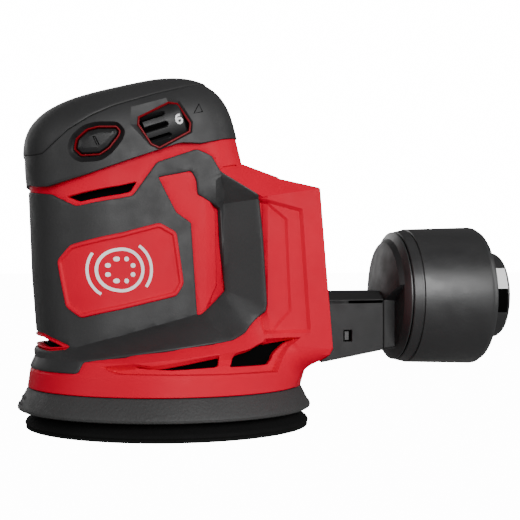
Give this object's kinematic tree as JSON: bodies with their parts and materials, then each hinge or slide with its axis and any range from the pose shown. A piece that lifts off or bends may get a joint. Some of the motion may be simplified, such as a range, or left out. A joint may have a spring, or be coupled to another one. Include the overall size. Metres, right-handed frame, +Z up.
{
  "type": "random orbital sander",
  "caption": "Cordless palm-grip random orbital sander: round hook pad, battery block at the rear, push buttons, speed wheel and a slide-off dust box.",
  "frame": {"origin": "centre of the sanding pad's hook face, on the motor's axis, with the tool standing on its pad", "axes": "+Z up along the motor's shaft, +X to the rear, where the battery block and the dust box are, +Y to the tool's right side"},
  "size_m": [0.219, 0.1286, 0.1535],
  "materials": {
    "red": "satin red glass-filled housing",
    "overmould": "matte black rubber overmould with a fine grain",
    "trim": "dark red trim",
    "skirt": "coarse-grained black rubber",
    "case_black": "black engineering plastic",
    "steel": "stacked laminations",
    "insulator": "pale insulation",
    "copper": "enamelled copper wire",
    "bearing": "polished bearing steel",
    "board": "green circuit board",
    "brass": "plated contact blades",
    "screw": "dark plated screws",
    "wire_red": "red wire sleeve",
    "wire_black": "black wire sleeve",
    "cast": "cast counterweight",
    "foam": "closed-cell foam",
    "hook": "hook facing",
    "control": "black control parts",
    "box_black": "semi-gloss black plastic",
    "seal": "soft seal",
    "paper": "pleated filter paper"
  },
  "bodies": {
    "housing": {"left_housing": "red", "right_housing": "red", "left_grip": "overmould", "right_grip": "overmould", "head_cover": "overmould", "palm_pad": "overmould", "left_badge": "red", "right_badge": "red", "on_button_rim": "trim", "off_button_rim": "trim", "dial_rim": "trim", "skirt": "skirt", "fan_housing": "case_black", "bearing_bracket": "case_black", "stator_core": "steel", "stator_insulator": "insulator", "windings": "copper", "lower_bearing_race": "bearing", "lower_bearing_balls": "bearing", "upper_bearing_race": "bearing", "upper_bearing_balls": "bearing", "control_board": "board", "board_parts": "case_black", "switch_board": "board", "speed_sensor": "case_black", "terminal_block": "case_black", "terminal_blades": "brass", "dust_port": "case_black", "case_screws": "screw", "bracket_screws": "screw", "battery_leads": "wire_red", "motor_leads": "wire_black"},
    "rotor": {"motor_shaft": "bearing", "rotor_core": "steel", "cooling_fan": "case_black", "dust_fan": "case_black", "counterweight": "cast", "lower_bearing_cone": "bearing", "upper_bearing_cone": "bearing", "pad_bearing_race": "bearing", "pad_bearing_balls": "bearing"},
    "pad": {"pad_bearing_cone": "bearing", "pad_spindle": "steel", "pad_plate": "case_black", "pad_foam": "foam", "hook_face": "hook", "pad_screw": "screw", "pad_washer": "screw"},
    "dial": {"speed_dial": "control"},
    "on_key": {"on_button": "control"},
    "off_key": {"off_button": "control"},
    "dust_inlet": {"inlet_sleeve": "box_black", "inlet_elbow": "box_black", "box_collar": "box_black", "box_seal": "seal"},
    "cup": {"dust_cup": "box_black"},
    "filter": {"filter_frame": "box_black", "filter_media": "paper"}
  },
  "joints": [
    {"name": "rotor_spin", "type": "hinge", "parent": "housing", "child": "rotor", "pos_m": [0, 0, 0.06], "axis": [0, 0, 1], "continuous": true},
    {"name": "pad_spin", "type": "hinge", "parent": "rotor", "child": "pad", "pos_m": [0.0012, 0, 0.017], "axis": [0, 0, 1], "continuous": true},
    {"name": "speed_turn", "type": "hinge", "parent": "housing", "child": "dial", "pos_m": [-0.0052, -0.024, 0.1288], "axis": [0.9478, 0, 0.319], "range_deg": [-270, 0]},
    {"name": "on_press", "type": "slide", "parent": "housing", "child": "on_key", "axis": [0.1045, 0.9945, 0], "range_m": [0, 0.0012], "stiffness_N_per_m": 1200, "springref_m": -0.0006},
    {"name": "off_press", "type": "slide", "parent": "housing", "child": "off_key", "axis": [0.1045, -0.9945, 0], "range_m": [0, 0.0012], "stiffness_N_per_m": 1200, "springref_m": -0.0006},
    {"name": "box_pull", "type": "slide", "parent": "housing", "child": "dust_inlet", "axis": [1, 0, 0], "range_m": [0, 0.04]},
    {"name": "cup_pull", "type": "slide", "parent": "dust_inlet", "child": "cup", "axis": [1, 0, 0], "range_m": [0, 0.05]},
    {"name": "filter_pull", "type": "slide", "parent": "cup", "child": "filter", "axis": [1, 0, 0], "range_m": [0, 0.035]}
  ]
}
